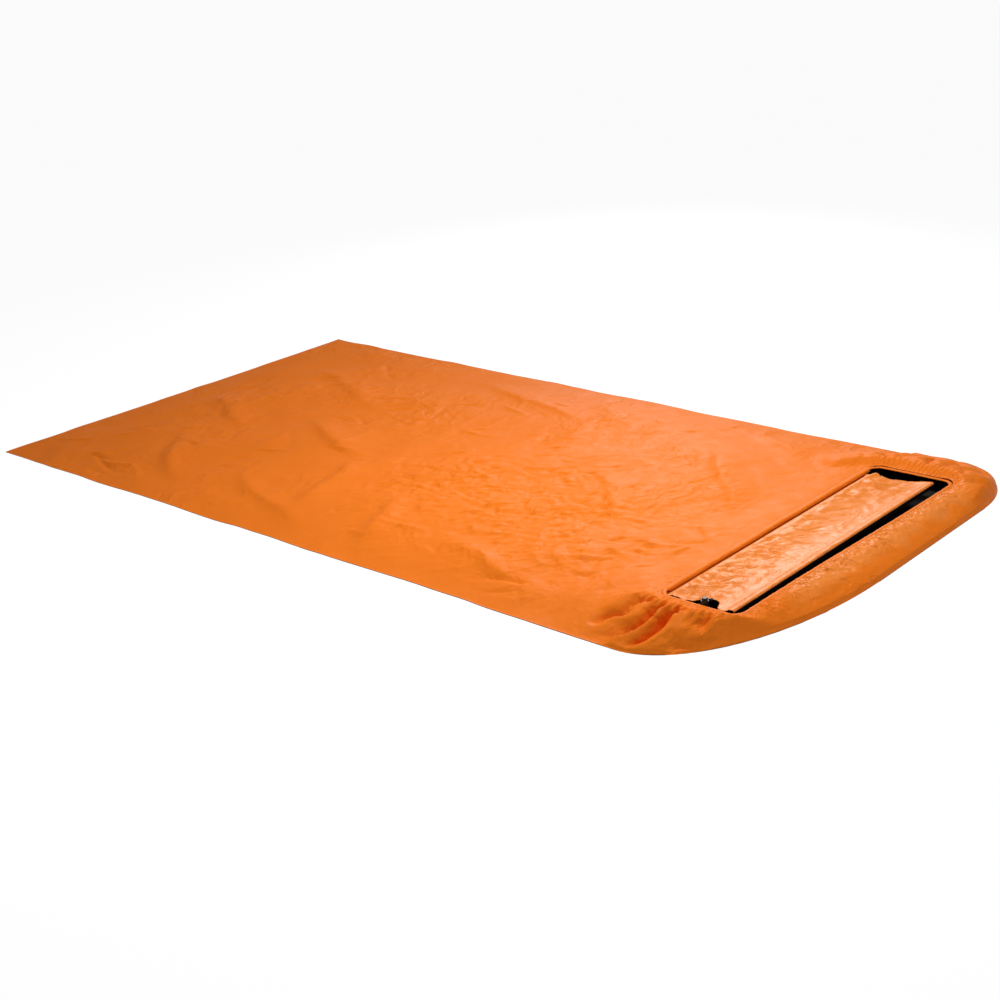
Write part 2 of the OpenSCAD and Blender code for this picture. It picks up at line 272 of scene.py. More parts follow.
def settle(points):
    """The whole sack lies a little unevenly: its edges wander and lift by less than a centimetre."""
    p = points.copy()
    x, y = p[..., 0], p[..., 1]
    from_mouth = smooth(0.05, 0.35, SEAM_X - x)
    at_side = smooth(0.25, 0, HALF_W - np.abs(y)) * from_mouth
    at_foot = smooth(0.25, 0, x + HALF_L)
    wander = SIDE_WANDER + SIDE_WANDER * noise(x / 0.19, np.sign(y) * 3.3, 61)
    p[..., 1] -= np.sign(y) * wander * at_side
    p[..., 0] += (FOOT_WANDER + FOOT_WANDER * noise(y / 0.17, 1.7, 62)) * at_foot
    lift = np.maximum(noise(x / 0.12, y / 0.12, 63), 0) * EDGE_LIFT
    p[..., 2] += lift * np.maximum(at_side, at_foot)
    return p


def thicken(grid, t=CLOTH_T):
    """Points of the closed sheet of thickness t below a grid: the grid's own, then those under it."""
    n = normals_of(soften(grid, 3))
    n = lerp(n, UP, smooth(0.3, 0.6, n[..., 2:]))
    under = grid - n / np.linalg.norm(n, axis=-1, keepdims=True) * t
    return np.concatenate([grid.reshape(-1, 3), under.reshape(-1, 3)])


def cloth_object(name, grid, flat, materials, t=CLOTH_T, painted_shade_from=None, gloss_and_painted_sheen=0.0):
    """A closed sheet of cloth, with its outer face's material first, then its inner face's.

    flat: each point's place on the cloth before it was sewn, in metres, for the weave.
    painted_shade_from: the row after which the outer face also takes the inner face's dark material: painted
    shade where the cloth's edge hangs down.
    gloss_and_painted_sheen: how much each point's coating shines, from 0 to 1; by the same share its colour
    is painted paler, as sheen.
    """
    ni, nj = grid.shape[:2]
    n = ni * nj
    top = halved(grid_faces(ni, nj))
    rim = ([(0, j) for j in range(nj)] + [(i, nj - 1) for i in range(1, ni)]
           + [(ni - 1, j) for j in range(nj - 2, -1, -1)] + [(i, 0) for i in range(ni - 2, 0, -1)])
    rim = [i * nj + j for i, j in rim]
    side = [(b, a, a + n, b + n) for a, b in zip(rim, rim[1:] + rim[:1])]
    under = [tuple(v + n for v in reversed(f)) for f in top]
    obj = new_object(name, thicken(grid, t), top + side + under)
    mesh = obj.data
    for mat in materials:
        mesh.materials.append(mat)
    index = np.zeros(len(mesh.polygons), dtype=np.int32)
    index[len(top) + len(side):] = len(materials) - 1
    if painted_shade_from is not None:
        index[2 * painted_shade_from * (nj - 1):len(top)] = len(materials) - 1
    mesh.polygons.foreach_set("material_index", index)
    mesh.polygons.foreach_set("use_smooth", np.ones(len(mesh.polygons), dtype=bool))
    shine = np.zeros((ni, nj, 1)) + np.asarray(gloss_and_painted_sheen)[..., None]
    face = np.concatenate([flat, shine], axis=-1).reshape(-1, 3)
    layer = mesh.attributes.new("cloth", "FLOAT_VECTOR", "POINT")
    layer.data.foreach_set("vector", np.concatenate([face, face]).ravel())
    mesh.update()
    return obj


def finish_plain(obj, mat):
    """One material all over a smooth-shaded piece."""
    obj.data.materials.append(mat)
    for p in obj.data.polygons:
        p.use_smooth = True


def tube_object(name, path, ring, mat):
    """A skin of rings along a path. ring: for each point of the path, its offsets across and up."""
    path = np.asarray(path)
    n, k = ring.shape[:2]
    along = np.gradient(path, axis=0)
    across = np.cross(along, UP)
    across /= np.maximum(np.linalg.norm(across, axis=1, keepdims=True), 1e-9)
    points = path[:, None] + across[:, None] * ring[..., :1] + UP * ring[..., 1:]
    faces = [tuple(reversed(f)) for f in grid_faces(n, k, wrap=True)]
    faces += [tuple(range(k)), tuple(reversed(range((n - 1) * k, n * k)))]
    obj = new_object(name, points.reshape(-1, 3), faces)
    flat = np.zeros((n, k, 3))
    flat[..., 0] = arc_length(path)[:, None]
    flat[..., 1] = np.linspace(0, 2 * math.pi, k) * np.abs(ring).max()
    layer = obj.data.attributes.new("cloth", "FLOAT_VECTOR", "POINT")
    layer.data.foreach_set("vector", flat.ravel())
    finish_plain(obj, mat)
    return obj


def stitching(name, line, up, mat, pitch=3.6 * MM):
    """A row of thread along a line of points. up: the cloth's normal at each of them."""
    s = arc_length(line)
    at = np.arange(pitch, s[-1] - pitch, pitch)
    mid, normal, tip = (np.stack([np.interp(at + ahead, s, v[:, k]) for k in range(3)], -1)
                        for v, ahead in ((line, 0), (up, 0), (line, 1 * MM)))
    along = (tip - mid) / np.linalg.norm(tip - mid, axis=1, keepdims=True)
    across = np.cross(normal, along)
    mid = mid + normal * 0.15 * MM
    half_length = 1.3 * MM
    half_width = 0.3 * MM
    height = 0.25 * MM
    corners = [mid - along * half_length, mid + along * half_length,
               mid - across * half_width, mid + across * half_width,
               mid - normal * half_width, mid + normal * height]
    points = np.stack(corners, 1).reshape(-1, 3)
    sides = [(0, 2, 5), (0, 5, 3), (0, 3, 4), (0, 4, 2), (1, 5, 2), (1, 3, 5), (1, 4, 3), (1, 2, 4)]
    faces = [tuple(6 * i + v for v in f) for i in range(len(at)) for f in sides]
    obj = new_object(name, points, faces)
    finish_plain(obj, mat)
    return obj


# ---------------- cloth simulation

def simulate(grid, slack, pins, below, frames, seed, bending, jitter):
    """Lets a sheet fall on the grid of points below it and gives back its grid of points.

    slack: how much longer its cloth is than the grid along each index. pins: 1 where it is held.
    jitter: how far its free points scatter at the start.
    """
    ni, nj = grid.shape[:2]
    n = ni * nj
    sheet = grid_object("falling_sheet", grid)
    middle = grid.reshape(-1, 3).mean(axis=0)
    cut = (grid - middle) * np.array([1 + slack[0], 1 + slack[1], 1]) + middle
    start = grid.reshape(-1, 3).copy()
    free = pins.ravel() < 0.5
    start[:, 2] += jitter * np.random.default_rng(seed).standard_normal(n) * free
    sheet.shape_key_add(name="held").data.foreach_set("co", start.ravel())
    rest = sheet.shape_key_add(name="cut")
    rest.data.foreach_set("co", cut.reshape(-1, 3).ravel())
    held = sheet.vertex_groups.new(name="held")
    held.add([int(v) for v in np.flatnonzero(~free)], 1.0, "REPLACE")

    ground = grid_object("ground_sheet", below)
    ground.modifiers.new("Collision", "COLLISION")
    ground.collision.thickness_outer = 1 * MM
    ground.collision.cloth_friction = 8
    cloth = sheet.modifiers.new("Cloth", "CLOTH")
    s = cloth.settings
    s.quality = 5
    s.mass = 0.1
    s.tension_stiffness = 25
    s.compression_stiffness = 25
    s.shear_stiffness = 8
    s.bending_stiffness = bending
    s.air_damping = 2
    s.vertex_group_mass = "held"
    s.rest_shape_key = rest
    cloth.collision_settings.distance_min = 1 * MM
    cloth.collision_settings.use_self_collision = False
    cloth.point_cache.frame_start = 1
    cloth.point_cache.frame_end = frames
    for f in range(1, frames + 1):
        bpy.context.scene.frame_set(f)
    shown = sheet.evaluated_get(bpy.context.evaluated_depsgraph_get())
    data = np.empty(n * 3)
    shown.data.vertices.foreach_get("co", data)
    bpy.context.scene.frame_set(1)
    for obj in (sheet, ground):
        bpy.data.objects.remove(obj)
    return data.reshape(ni, nj, 3)


# ---------------- the shape of the sack

def beside_crest(x, y, crest, side):
    """For each point: its place along a crest line, how far outside it, the crest's height and share."""
    line = finer(crest[:, None], places(len(crest), 24), np.zeros(1))[:, 0]
    along = arc_length(line[:, :2])
    tangent = np.gradient(line[:, :2], axis=0)
    tangent /= np.linalg.norm(tangent, axis=1, keepdims=True)
    place, outside, height = np.full(x.shape, -1.0), np.full(x.shape, 1.0), np.zeros(x.shape)
    near = (x > 0.55) & (side * y > 0.10)
    gap = stacked(x[near], y[near])[:, None] - line[None, :, :2]
    k = (gap ** 2).sum(axis=-1).argmin(axis=1)
    v = gap[np.arange(len(k)), k]
    turn = side * (tangent[k, 0] * v[:, 1] - tangent[k, 1] * v[:, 0])
    place[near] = along[k]
    outside[near] = np.sign(turn) * np.linalg.norm(v, axis=1)
    height[near] = line[k, 2]
    ends = smooth(0, 0.05, along) * smooth(0, 0.07, along[-1] - along)
    share = np.zeros(x.shape)
    share[near] = ends[k]
    return place, outside, height, share


def bunched(x, y, z, room):
    """Heights with the cloth bunched up outside both ends of the mouth, in folds that spread from it.

    room: how far the cloth may rise at each point, from 0 to 1.
    """
    near_end = (-1, NEAR_CREST, 0.275, 40 * MM, 41)  # side, crest, length and depth of its folds, seed
    far_end = (1, FAR_CREST, 0.42, 11 * MM, 45)
    for side, crest, folded, depth, seed in (near_end, far_end):
        place, outside, height, share = beside_crest(x, y, crest, side)
        swell = np.where(outside > 0, np.exp(-(outside / 0.075) ** 1.6), np.exp(-(outside / 0.020) ** 2))
        z = z + np.maximum(height - z, 0) * swell * share * room
        bend = 0.45 * noise(outside / 0.05, place / 0.07, seed)
        phase = (place + 0.30 * outside) / PLEAT_PITCH + bend + 0.37 * seed
        pleat = 1 - np.abs(np.sin(math.pi * phase)) ** 1.1
        among = share * smooth(folded + 0.02, folded - 0.02, place) * smooth(0.81, 0.86, x)
        run = smooth(-0.016, 0.025, outside) * smooth(0.17, 0.10, outside)
        vary = 0.8 + 0.5 * noise(place / 0.06, outside / 0.09, seed + 1)
        z = z - depth * pleat * among * run * vary * np.clip((z - SEAM_TOP) / 0.035, 0, 1)
        ruffle = 1 - np.abs(np.sin(math.pi * (place / RUFFLE_PITCH + 1.3 * bend)))
        ruffle = ruffle * smooth(-0.038, -0.012, outside) * smooth(0.035, 0.005, outside)
        z = z - 0.16 * depth * ruffle * among
    return z


def sack_height(x, y):
    """Height of the top sheet as it rests on the air and the floor sheet below it."""
    to_side = HALF_W - SEAM_W - np.abs(y)
    to_foot = x + HALF_L - SEAM_W
    swell = lerp(0.016, 0.030, smooth(-1.1, 0.7, x))  # more air towards the head
    rise_side = 1 - np.exp(-np.maximum(to_side, 0) / 0.15)
    rise_foot = 1 - np.exp(-np.maximum(to_foot, 0) / 0.10)
    turned = x * 0.8 - y * 0.6
    roll = (6 * MM * noise(x / 0.45, y / 0.33, 3) + 5 * MM * noise(turned / 0.17, y / 0.42, 4)
            + 2 * MM * noise(x / 0.12, turned / 0.22, 5))
    body = (swell + roll) * rise_side * rise_foot
    at_hem = smooth(SEAM_X - 0.12, SEAM_X - 0.01, x) * smooth(0, 0.18, to_side)
    return SEAM_TOP + lerp(body, HEM_TOP - SEAM_TOP, at_hem)


def side_reach(x, cut):
    u = np.maximum(0, x - HALF_L + cut[0]) / cut[0]
    return HALF_W - cut[1] + cut[1] * np.sqrt(1 - u * u)


def head_reach(y, cut):
    u = np.maximum(0, y - HALF_W + cut[1]) / cut[1]
    return HALF_L - cut[0] + cut[0] * np.sqrt(1 - u * u)


def corner_reach(d, cut):
    """Distance to the floor's outline from the middle of the casing's corner, along the directions d."""
    e = np.array([(CORNER_X1 - HALF_L + cut[0]) / cut[0], (CORNER_Y - HALF_W + cut[1]) / cut[1]])
    f = d / np.array(cut)
    ef, ff = f @ e, (f * f).sum(axis=1)
    return (np.sqrt(ef * ef - ff * (e @ e - 1)) - ef) / ff


def half_path(cut, n_hem, n_run, n_arc, n_head):
    """Points on the floor's outline and the casing's outer edge, from the hood's seam to mid-head."""
    r = CORNER_R + CASING_W / 2
    u = np.linspace(0, 1, n_hem, endpoint=False)
    x = lerp(SEAM_X, CORNER_X0, u)
    a = u * math.pi / 2
    out = [stacked(x, side_reach(x, cut))]
    inn = [stacked(CORNER_X0 - r * np.cos(a), CORNER_Y + r * np.sin(a))]
    x = np.linspace(CORNER_X0, CORNER_X1, n_run, endpoint=False)
    out.append(stacked(x, side_reach(x, cut)))
    inn.append(stacked(x, CORNER_Y + r))
    a = np.linspace(math.pi / 2, 0, n_arc, endpoint=False)
    d = stacked(np.cos(a), np.sin(a))
    middle = np.array([CORNER_X1, CORNER_Y])
    out.append(middle + d * corner_reach(d, cut)[:, None])
    inn.append(middle + d * r)
    y = np.linspace(CORNER_Y, 0, n_head + 1)
    out.append(stacked(head_reach(y, cut), y))
    inn.append(stacked(CORNER_X1 + r, y))
    return np.concatenate(out), np.concatenate(inn)


def hood_paths():
    """Both lines all the way round the hood, from its near seam to its far one."""
    counts = (14, 36, 18, 104)  # points beside the hem, on the cheek, round the corner and on half the lip
    near_out, near_in = half_path(NEAR_CUT, *counts)
    far_out, far_in = half_path(FAR_CUT, *counts)
    flip = np.array([1, -1])
    outer = np.concatenate([near_out * flip, far_out[-2::-1]])
    inner = np.concatenate([near_in * flip, far_in[-2::-1]])
    return outer, drifted(inner)


def drifted(path):
    """A line along the mouth's casing, with the lip where its gathers have drawn it."""
    p = path.copy()
    at_lip = smooth(CORNER_X0, CORNER_X1, path[:, 0])
    p[:, 0] += lerp(NEAR_DRIFT, FAR_DRIFT, smooth(-CORNER_Y, CORNER_Y, path[:, 1])) * at_lip
    return p


def arc_length(path):
    step = np.linalg.norm(np.diff(path, axis=0), axis=1)
    return np.concatenate([[0], np.cumsum(step)])


def hood_shape(rows=64):
    """The hood's sheet as it lies, and each of its points' place on the cloth before it was sewn."""
    outer, inner = hood_paths()
    s = arc_length(inner)[:, None]
    total = s[-1, 0]
    u = np.linspace(0, 1, rows)[None, :]
    u = lerp(u, u ** 2 * (3 - 2 * u), 0.5)
    across = inner - outer
    width = np.linalg.norm(across, axis=1)[:, None]
    flat = outer[:, None] + across[:, None] * u[..., None]
    x, y = flat[..., 0], flat[..., 1]
    d = width * u
    to_lip = width - d
    lip = CASING_Z + 2.5 * MM
    edge = 9 * MM * smooth(0, 5 * MM, d)
    reach = 0.75 * width
    rise = np.sin(np.clip(d / reach, 0, 1) * math.pi / 2)
    loose = 3 * MM * noise(x / 0.07, y / 0.11, 26) * smooth(0, 0.04, d) * smooth(0, 0.03, to_lip)
    lift = FLOOR_TOP + edge + (lip - FLOOR_TOP - edge) * rise + loose
    seam_z = sack_height(np.full_like(y, SEAM_X), y)
    by_seam = np.clip(smooth(0.06, 0, s) + smooth(0.06, 0, total - s), 0, 1)
    at_edge = smooth(0, 0.022, np.where(by_seam > 0.5, HALF_W - np.abs(y) - SEAM_W, d))
    z = bunched(x, y, lerp(lift, seam_z, by_seam), at_edge)

    free = 1 - by_seam
    bend = 0.9 * noise(s / 0.03, to_lip / 0.03, 21)
    fine = 1 - np.abs(np.sin(math.pi * (s / LIP_PITCH + bend))) * 1.6
    reach = 0.024 * (1 + 0.5 * wobble(s, 0.02, 22))
    z = z + 1.6 * MM * fine * smooth(0, 4 * MM, to_lip) * np.exp(-(to_lip / reach) ** 2) * free
    grid = stacked(x, y, z)
    return grid, stacked(s, d)


def build_hood(mats):
    grid, cloth = hood_shape()
    at_i, at_j = places(len(grid), 2), np.arange(grid.shape[1])
    grid, cloth = finer(grid, at_i, at_j), finer(cloth, at_i, at_j)
    lap = np.array([-6 * MM, 0, -1.3 * MM])
    grid = np.concatenate([grid[:1] + lap, grid, grid[-1:] + lap])
    cloth = np.concatenate([cloth[:1], cloth, cloth[-1:]])
    x, y = grid[..., 0], grid[..., 1]
    s, d = cloth[..., 0], cloth[..., 1]
    to_lip = d[:, -1:] - d
    calm = smooth(0, 0.05, s) * smooth(0, 0.05, s[-1:] - s)
    calm = calm * smooth(4 * MM, 0.02, d) * smooth(0, 6 * MM, to_lip)
    lip = [(LIP_X + 0.015, lip_y, 0.016, 16) for lip_y in np.linspace(-0.36, 0.36, 12)]
    far = [(1.125, 0.40, 0.02, 10)]
    fold = (creases(x, y, lip, 71, 0.050, 3.0 * MM, 2.2 * MM, 0.1, turn=0.45, fan=0.5)
            + creases(x, y, far, 72, 0.07, 5 * MM, 3.0 * MM, 0.5, turn=0.9)
            + crumple(x, y, 0.022, 73) * 0.6 * MM * smooth(0.12, 0.04, to_lip))
    grid[..., 2] += fold * calm
    lowest = np.where(d < 5 * MM, CLOTH_T, SEAM_TOP)
    lowest[[0, -1]] = CLOTH_T
    grid[..., 2] = np.maximum(grid[..., 2], lowest)
    # Near the lip the coating shines: less rough, with a coat, and its colour painted paler as sheen.
    edge_of_gloss = 0.055 + 0.02 * noise(s / 0.06, 0 * s, 74)
    gloss_and_painted_sheen = smooth(edge_of_gloss + 0.02, edge_of_gloss - 0.015, to_lip)
    gloss_and_painted_sheen = gloss_and_painted_sheen * smooth(0.30, 0.45, s) * smooth(0.2, 0.34, s[-1:] - s)
    return cloth_object("hood_cloth", settle(grid), cloth, mats, gloss_and_painted_sheen=gloss_and_painted_sheen), grid


def soft_fold(x, y, start, end, height, steep, gentle):
    """A long fold from start to end: steep on the right of the way, gentle on the left."""
    run = np.subtract(end, start)
    length = np.linalg.norm(run)
    way = run / length
    dx, dy = x - start[0], y - start[1]
    u = (dx * way[0] + dy * way[1]) / length
    bow = 0.05 * length * noise(u * 1.7, 0 * u + start[0] * 9, 55)
    left = way[0] * dy - way[1] * dx + bow
    width = np.where(left > 0, gentle, steep)
    fade = np.exp(-((u - 0.5) / 0.42) ** 4)
    return height * fade / (1 + (left / width) ** 2) ** 1.5


def build_top(mats):
    """The top sheet. A coarse sheet falls on the air below it, and its creases come after that."""
    step = 0.024  # of the coarse sheet
    nx = round((SEAM_X + HALF_L) / step) + 1
    ny = round(2 * HALF_W / step) + 1
    x, y = np.meshgrid(np.linspace(-HALF_L, SEAM_X, nx), np.linspace(-HALF_W, HALF_W, ny), indexing="ij")
    grid = stacked(x, y, sack_height(x, y))
    pins = ((x < -HALF_L + SEAM_W) | (np.abs(y) > HALF_W - SEAM_W) | (x > SEAM_X - 1 * MM)).astype(float)
    below = grid - np.array([0, 0, 4 * MM])
    grid = simulate(grid, (0.003, 0.004), pins, below, frames=24, seed=1, bending=12, jitter=2 * MM)
    grid = soften(grid, 2)
    rows, columns = 340, 231
    u = np.linspace(0, 1, rows)
    at_i = (nx - 1) * lerp(u, 1.25 * u - 0.25 * u * u, 0.9)
    at_j = np.linspace(0, ny - 1, columns)
    grid = finer(grid, at_i, at_j)
    cloth = stacked(lerp(-HALF_L, SEAM_X, at_i / (nx - 1))[:, None], lerp(-HALF_W, HALF_W, at_j / (ny - 1)))
    x, y = cloth[..., 0], cloth[..., 1]
    by_hem = smooth(0.06, 0.01, SEAM_X - x)
    grid[..., :2] = lerp(grid[..., :2], cloth, by_hem[..., None])
    at_edge = smooth(0, 0.022, HALF_W - np.abs(y) - SEAM_W)
    grid[..., 2] = bunched(x, y, lerp(grid[..., 2], sack_height(x, y), by_hem), at_edge)

    to_edge = np.minimum(np.minimum(x + HALF_L, HALF_W - np.abs(y)), SEAM_X - x + 0.01)
    inside = smooth(0, 0.05, to_edge - SEAM_W)
    middle = [(0.25, -0.10, 0.13, 46), (0.42, -0.28, 0.13, 46),
              (0.05, -0.20, 0.13, 26), (0.60, -0.30, 0.10, 22)]
    loose = [(-0.6, -0.1, 0.30, 24), (-0.9, -0.4, 0.2, 12), (0.5, 0.3, 0.2, 14),
             (-0.2, 0.3, 0.3, 14), (0.7, -0.4, 0.1, 12), (-0.9, 0.3, 0.2, 12)]
    # Where each long fold starts and ends, then its height and both widths in millimetres
    long_folds = [((0.47, 0.38), (0.78, 0.00), 12, 22, 90), ((0.11, 0.18), (0.12, 0.56), 8, 40, 50),
                  ((0.80, -0.33), (0.72, -0.60), 9, 25, 50), ((0.03, -0.34), (0.14, -0.56), 9, 22, 45),
                  ((-0.62, -0.02), (-0.26, -0.19), 11, 24, 70), ((-0.26, -0.19), (-0.14, -0.52), 10, 24, 55),
                  ((-0.95, 0.35), (-0.55, 0.15), 9, 30, 60), ((0.30, 0.10), (0.62, -0.20), 7, 18, 45),
                  ((0.28, -0.45), (0.62, -0.56), 9, 25, 45), ((-0.85, -0.30), (-0.60, -0.55), 8, 25, 50),
                  ((-0.40, 0.50), (0.05, 0.36), 9, 22, 60), ((-1.05, 0.00), (-0.75, -0.16), 8, 22, 55),
                  ((0.50, 0.55), (0.72, 0.42), 8, 20, 50), ((-0.45, -0.42), (-0.10, -0.58), 8, 22, 45)]
    handled = np.exp(-((x - 0.3) / 0.5) ** 2 - ((y + 0.2) / 0.32) ** 2)
    fold = (creases(x, y, middle, 82, 0.085, 4.2 * MM, 3.4 * MM, 1.15, turn=0.6)
            + crumple(x, y, 0.045, 84) * 2.6 * MM * handled
            + creases(x, y, loose, 83, 0.18, 6 * MM, 3.6 * MM, 0.9, turn=0.7))
    for start, end, tall, steep, gentle in long_folds:
        fold = fold + soft_fold(x, y, start, end, tall * MM, steep * MM, gentle * MM)
    ends = smooth(0.26, 0.36, np.abs(y)) * smooth(0.47, 0.44, np.abs(y))
    bend = 0.8 * noise(x / 0.02, y / 0.03, 85)
    pucker = (1 - 1.6 * np.abs(np.sin(math.pi * (y / HEM_PITCH + bend)))) * np.exp(-(SEAM_X - x) / 0.028)
    pucker = pucker * (0.8 * MM + 1.6 * MM * ends) * smooth(0, 6 * MM, SEAM_X - x)
    pucker = pucker * smooth(0.46, 0.44, np.abs(y))
    grid[..., 2] += fold * inside + pucker
    sway = -0.6 * MM + 1.4 * MM * wobble(y, 0.11, 86) + 0.5 * MM * wobble(y, 0.03, 87)
    grid[..., 0] += sway * smooth(0.05, 0.01, SEAM_X - x) * smooth(0.42, 0.38, np.abs(y))
    grid[..., 2] = np.maximum(grid[..., 2], SEAM_TOP)
    turned = turned_hem(grid[-1])
    turned_cloth = cloth[-1] + np.arange(1, len(turned) + 1)[:, None, None] * np.array([2 * MM, 0])
    full = np.concatenate([grid, turned])
    return cloth_object("top_cloth", settle(full), np.concatenate([cloth, turned_cloth]), mats), grid


def turned_hem(edge):
    """Rows that take the top sheet on over its hem's casing; beside the mouth they lap the seam."""
    over = smooth(CORNER_Y + 0.015, CORNER_Y - 0.005, np.abs(edge[:, 1]))[:, None]
    steps = np.array([(3, 0.9), (6, 1.1), (9, 0.6), (11, -0.6), (12, -2.6), (12.2, -4.6)]) * MM
    rows = []
    for k, (run, rise) in enumerate(steps):
        beside = np.array([0.3 * MM * (k + 1), 0, -0.3 * MM * (k + 1)])
        rows.append(edge + lerp(beside, np.array([run, 0, rise]), over))
        rows[-1][:, 2] = np.maximum(rows[-1][:, 2], CLOTH_T)
    return np.array(rows)


def build_floor(mats):
    """The floor sheet, from the foot to the head's outline."""
    nx, ny = 151, 83
    u = np.linspace(0, 1, nx)[:, None]
    v = np.linspace(-1, 1, ny)[None, :]
    x = lerp(-HALF_L, HALF_L, u)
    half = np.where(v < 0, side_reach(x, NEAR_CUT), side_reach(x, FAR_CUT))
    lowest = CLOTH_T + 0.02 * MM
    grid = stacked(x, v * half, lowest)
    return cloth_object("floor_cloth", settle(grid), grid[..., :2], mats)


def flap_profile():
    """The storm flap's section from its root under the hem to the ridge of its free edge, and over it."""
    slope = np.array([[
        [HEM_X + 1 * MM, 0, flap_lo[2] + 1 * MM], [HEM_X + 5 * MM, 0, flap_lo[2] + 1.2 * MM],
        [HEM_X + 10 * MM, 0, flap_lo[2] + 4 * MM], [HEM_X + 17 * MM, 0, RIDGE_Z - 1 * MM],
        [HEM_X + 30 * MM, 0, RIDGE_Z + 1 * MM], [HEM_X + 60 * MM, 0, RIDGE_Z - 1 * MM],
        [RIDGE_X - 75 * MM, 0, RIDGE_Z - 3.5 * MM], [RIDGE_X - 40 * MM, 0, RIDGE_Z - 1.5 * MM],
        [RIDGE_X - 17 * MM, 0, RIDGE_Z + 1 * MM], [RIDGE_X - 8 * MM, 0, RIDGE_Z + 4.2 * MM]]])
    slope = finer(slope, np.zeros(1), np.linspace(0, 9, 46))[0, :, ::2]
    angle = np.linspace(math.radians(112), math.radians(-40), 12)
    over = np.array([RIDGE_X, RIDGE_Z]) + FLAP_HEM_R * stacked(np.cos(angle), np.sin(angle))
    hang = over[-1] + np.linspace(0, 1, 5)[1:, None] * np.array([-3 * MM, -8 * MM])
    return slope, np.concatenate([over, hang])


def build_flap(mats):
    """The storm flap, from its root under the hem over the elastic in its free edge."""
    ny = 230
    slope, edge = flap_profile()
    n = len(slope)
    line = np.concatenate([slope, edge])
    by_lock = smooth(0.036, 0.014, np.abs(line[:, 0] - LOCK_X))
    near_y = lerp(-SIDE_Y + 8.5 * MM, flap_lo[1], by_lock)[:, None]
    y = lerp(near_y, flap_hi[1], np.linspace(0, 1, ny))
    grid = stacked(line[:, :1], y, line[:, 1:])
    pins = np.zeros((n, ny))
    pins[:3] = 1
    pins[-2:] = 1
    below = grid[:n:3, ::5] - np.array([0, 0, 4 * MM])
    grid[:n] = simulate(grid[:n], (0.006, 0.010), pins, below, frames=16, seed=9, bending=0.6,
                        jitter=0.3 * MM)
    x = grid[..., 0]
    down = arc_length(line)[:, None]
    inside = smooth(0.012, 0.036, x - HEM_X) * smooth(9 * MM, 0.05, RIDGE_X - x) * smooth(0, 0.01, down)
    inside[n:] = 0
    grid[:n] = soften(grid[:n], 2)
    root = [(HEM_X + 0.02, root_y, 0.02, 7) for root_y in np.linspace(-0.40, 0.38, 12)]
    ends = [(HEM_X + 0.03, 0.34, 0.03, 16), (HEM_X + 0.04, -0.37, 0.03, 14)]
    fold = (creases(x, y, root, 91, 0.13, 3.2 * MM, 3.0 * MM, 0.6, turn=0.5)
            + creases(x, y, ends, 92, 0.14, 5 * MM, 3.6 * MM, 0.1, turn=0.8)
            + crumple(x, y, 0.03, 93) * 1.2 * MM)
    grid[..., 2] += fold * inside
    cloth = stacked(down, y)
    # Past the ridge the flap's front face takes the near-black inner material: painted shade under its
    # hanging edge.
    obj = cloth_object("storm_flap_cloth", grid, cloth, mats, t=FLAP_T, painted_shade_from=n + 7)
    return obj, grid[:n]


def casing_ring(s, seed):
    """Sections of a gathered casing along its length s: a flat oval, pinched where the cord draws it in."""
    w, h = CASING_W, FLATTENED * CASING_H
    k = np.linspace(0, 2 * math.pi, 14, endpoint=False)[None, :]
    pinch = np.abs(np.sin(math.pi * s / CASING_PITCH + 1.6 * wobble(s, 0.02, seed)))[:, None] ** 0.7
    size = lerp(0.78, 1.08, pinch) * (1 + 0.06 * wobble(s, 0.011, seed + 1)[:, None])
    lift = 0.5 * MM * wobble(s, 0.013, seed + 2)[:, None]
    return stacked(w / 2 * size * np.cos(k), h / 2 * size * np.sin(k) + lift)


def casing_path(spacing=1.6 * MM):
    """Middle of the hood's casing, from one end of the hem to the other, round the cheeks and the lip."""
    a = np.linspace(math.pi, 1.5 * math.pi, 24)
    b = np.linspace(-0.5 * math.pi, 0, 24)
    arcs = [stacked(CORNER_X0 + CORNER_R * np.cos(a), -CORNER_Y + CORNER_R * np.sin(a)),
            stacked(CORNER_X1 + CORNER_R * np.cos(b), -CORNER_Y + CORNER_R * np.sin(b))]
    half = np.concatenate(arcs)
    path = np.concatenate([half, (half * np.array([1, -1]))[::-1]])
    s = arc_length(path)
    at = np.linspace(0, s[-1], round(s[-1] / spacing))
    flat = drifted(np.stack([np.interp(at, s, path[:, k]) for k in (0, 1)], -1))
    return stacked(flat[:, 0], flat[:, 1], CASING_Z), at


def build_casings(mat):
    path, s = casing_path()
    hood = tube_object("hood_casing_cloth", path, casing_ring(s, 31), mat)
    y = np.arange(-CORNER_Y, CORNER_Y, 1.8 * MM)
    line = stacked(HEM_X, y, CASING_Z)
    hem = tube_object("hem_casing_cloth", line, casing_ring(y - y[0], 35), mat)
    return hood, hem


def round_ring(radius, sides, count):
    """The same round section at each of count points."""
    k = np.linspace(0, 2 * math.pi, sides, endpoint=False)
    ring = radius * stacked(np.cos(k), np.sin(k))
    return np.broadcast_to(ring, (count, sides, 2))


def build_drawcord(mat):
    """The elastic cord in the casings, one loop from its exit round the mouth."""
    half, _ = casing_path(4 * MM)
    y = np.linspace(CORNER_Y, -CORNER_Y, 200)[1:]
    hem = stacked(HEM_X, y, CASING_Z)
    path = np.concatenate([half, hem])
    return tube_object("drawcord_elastic", path, round_ring(CORD_R, 10, len(path)), mat)


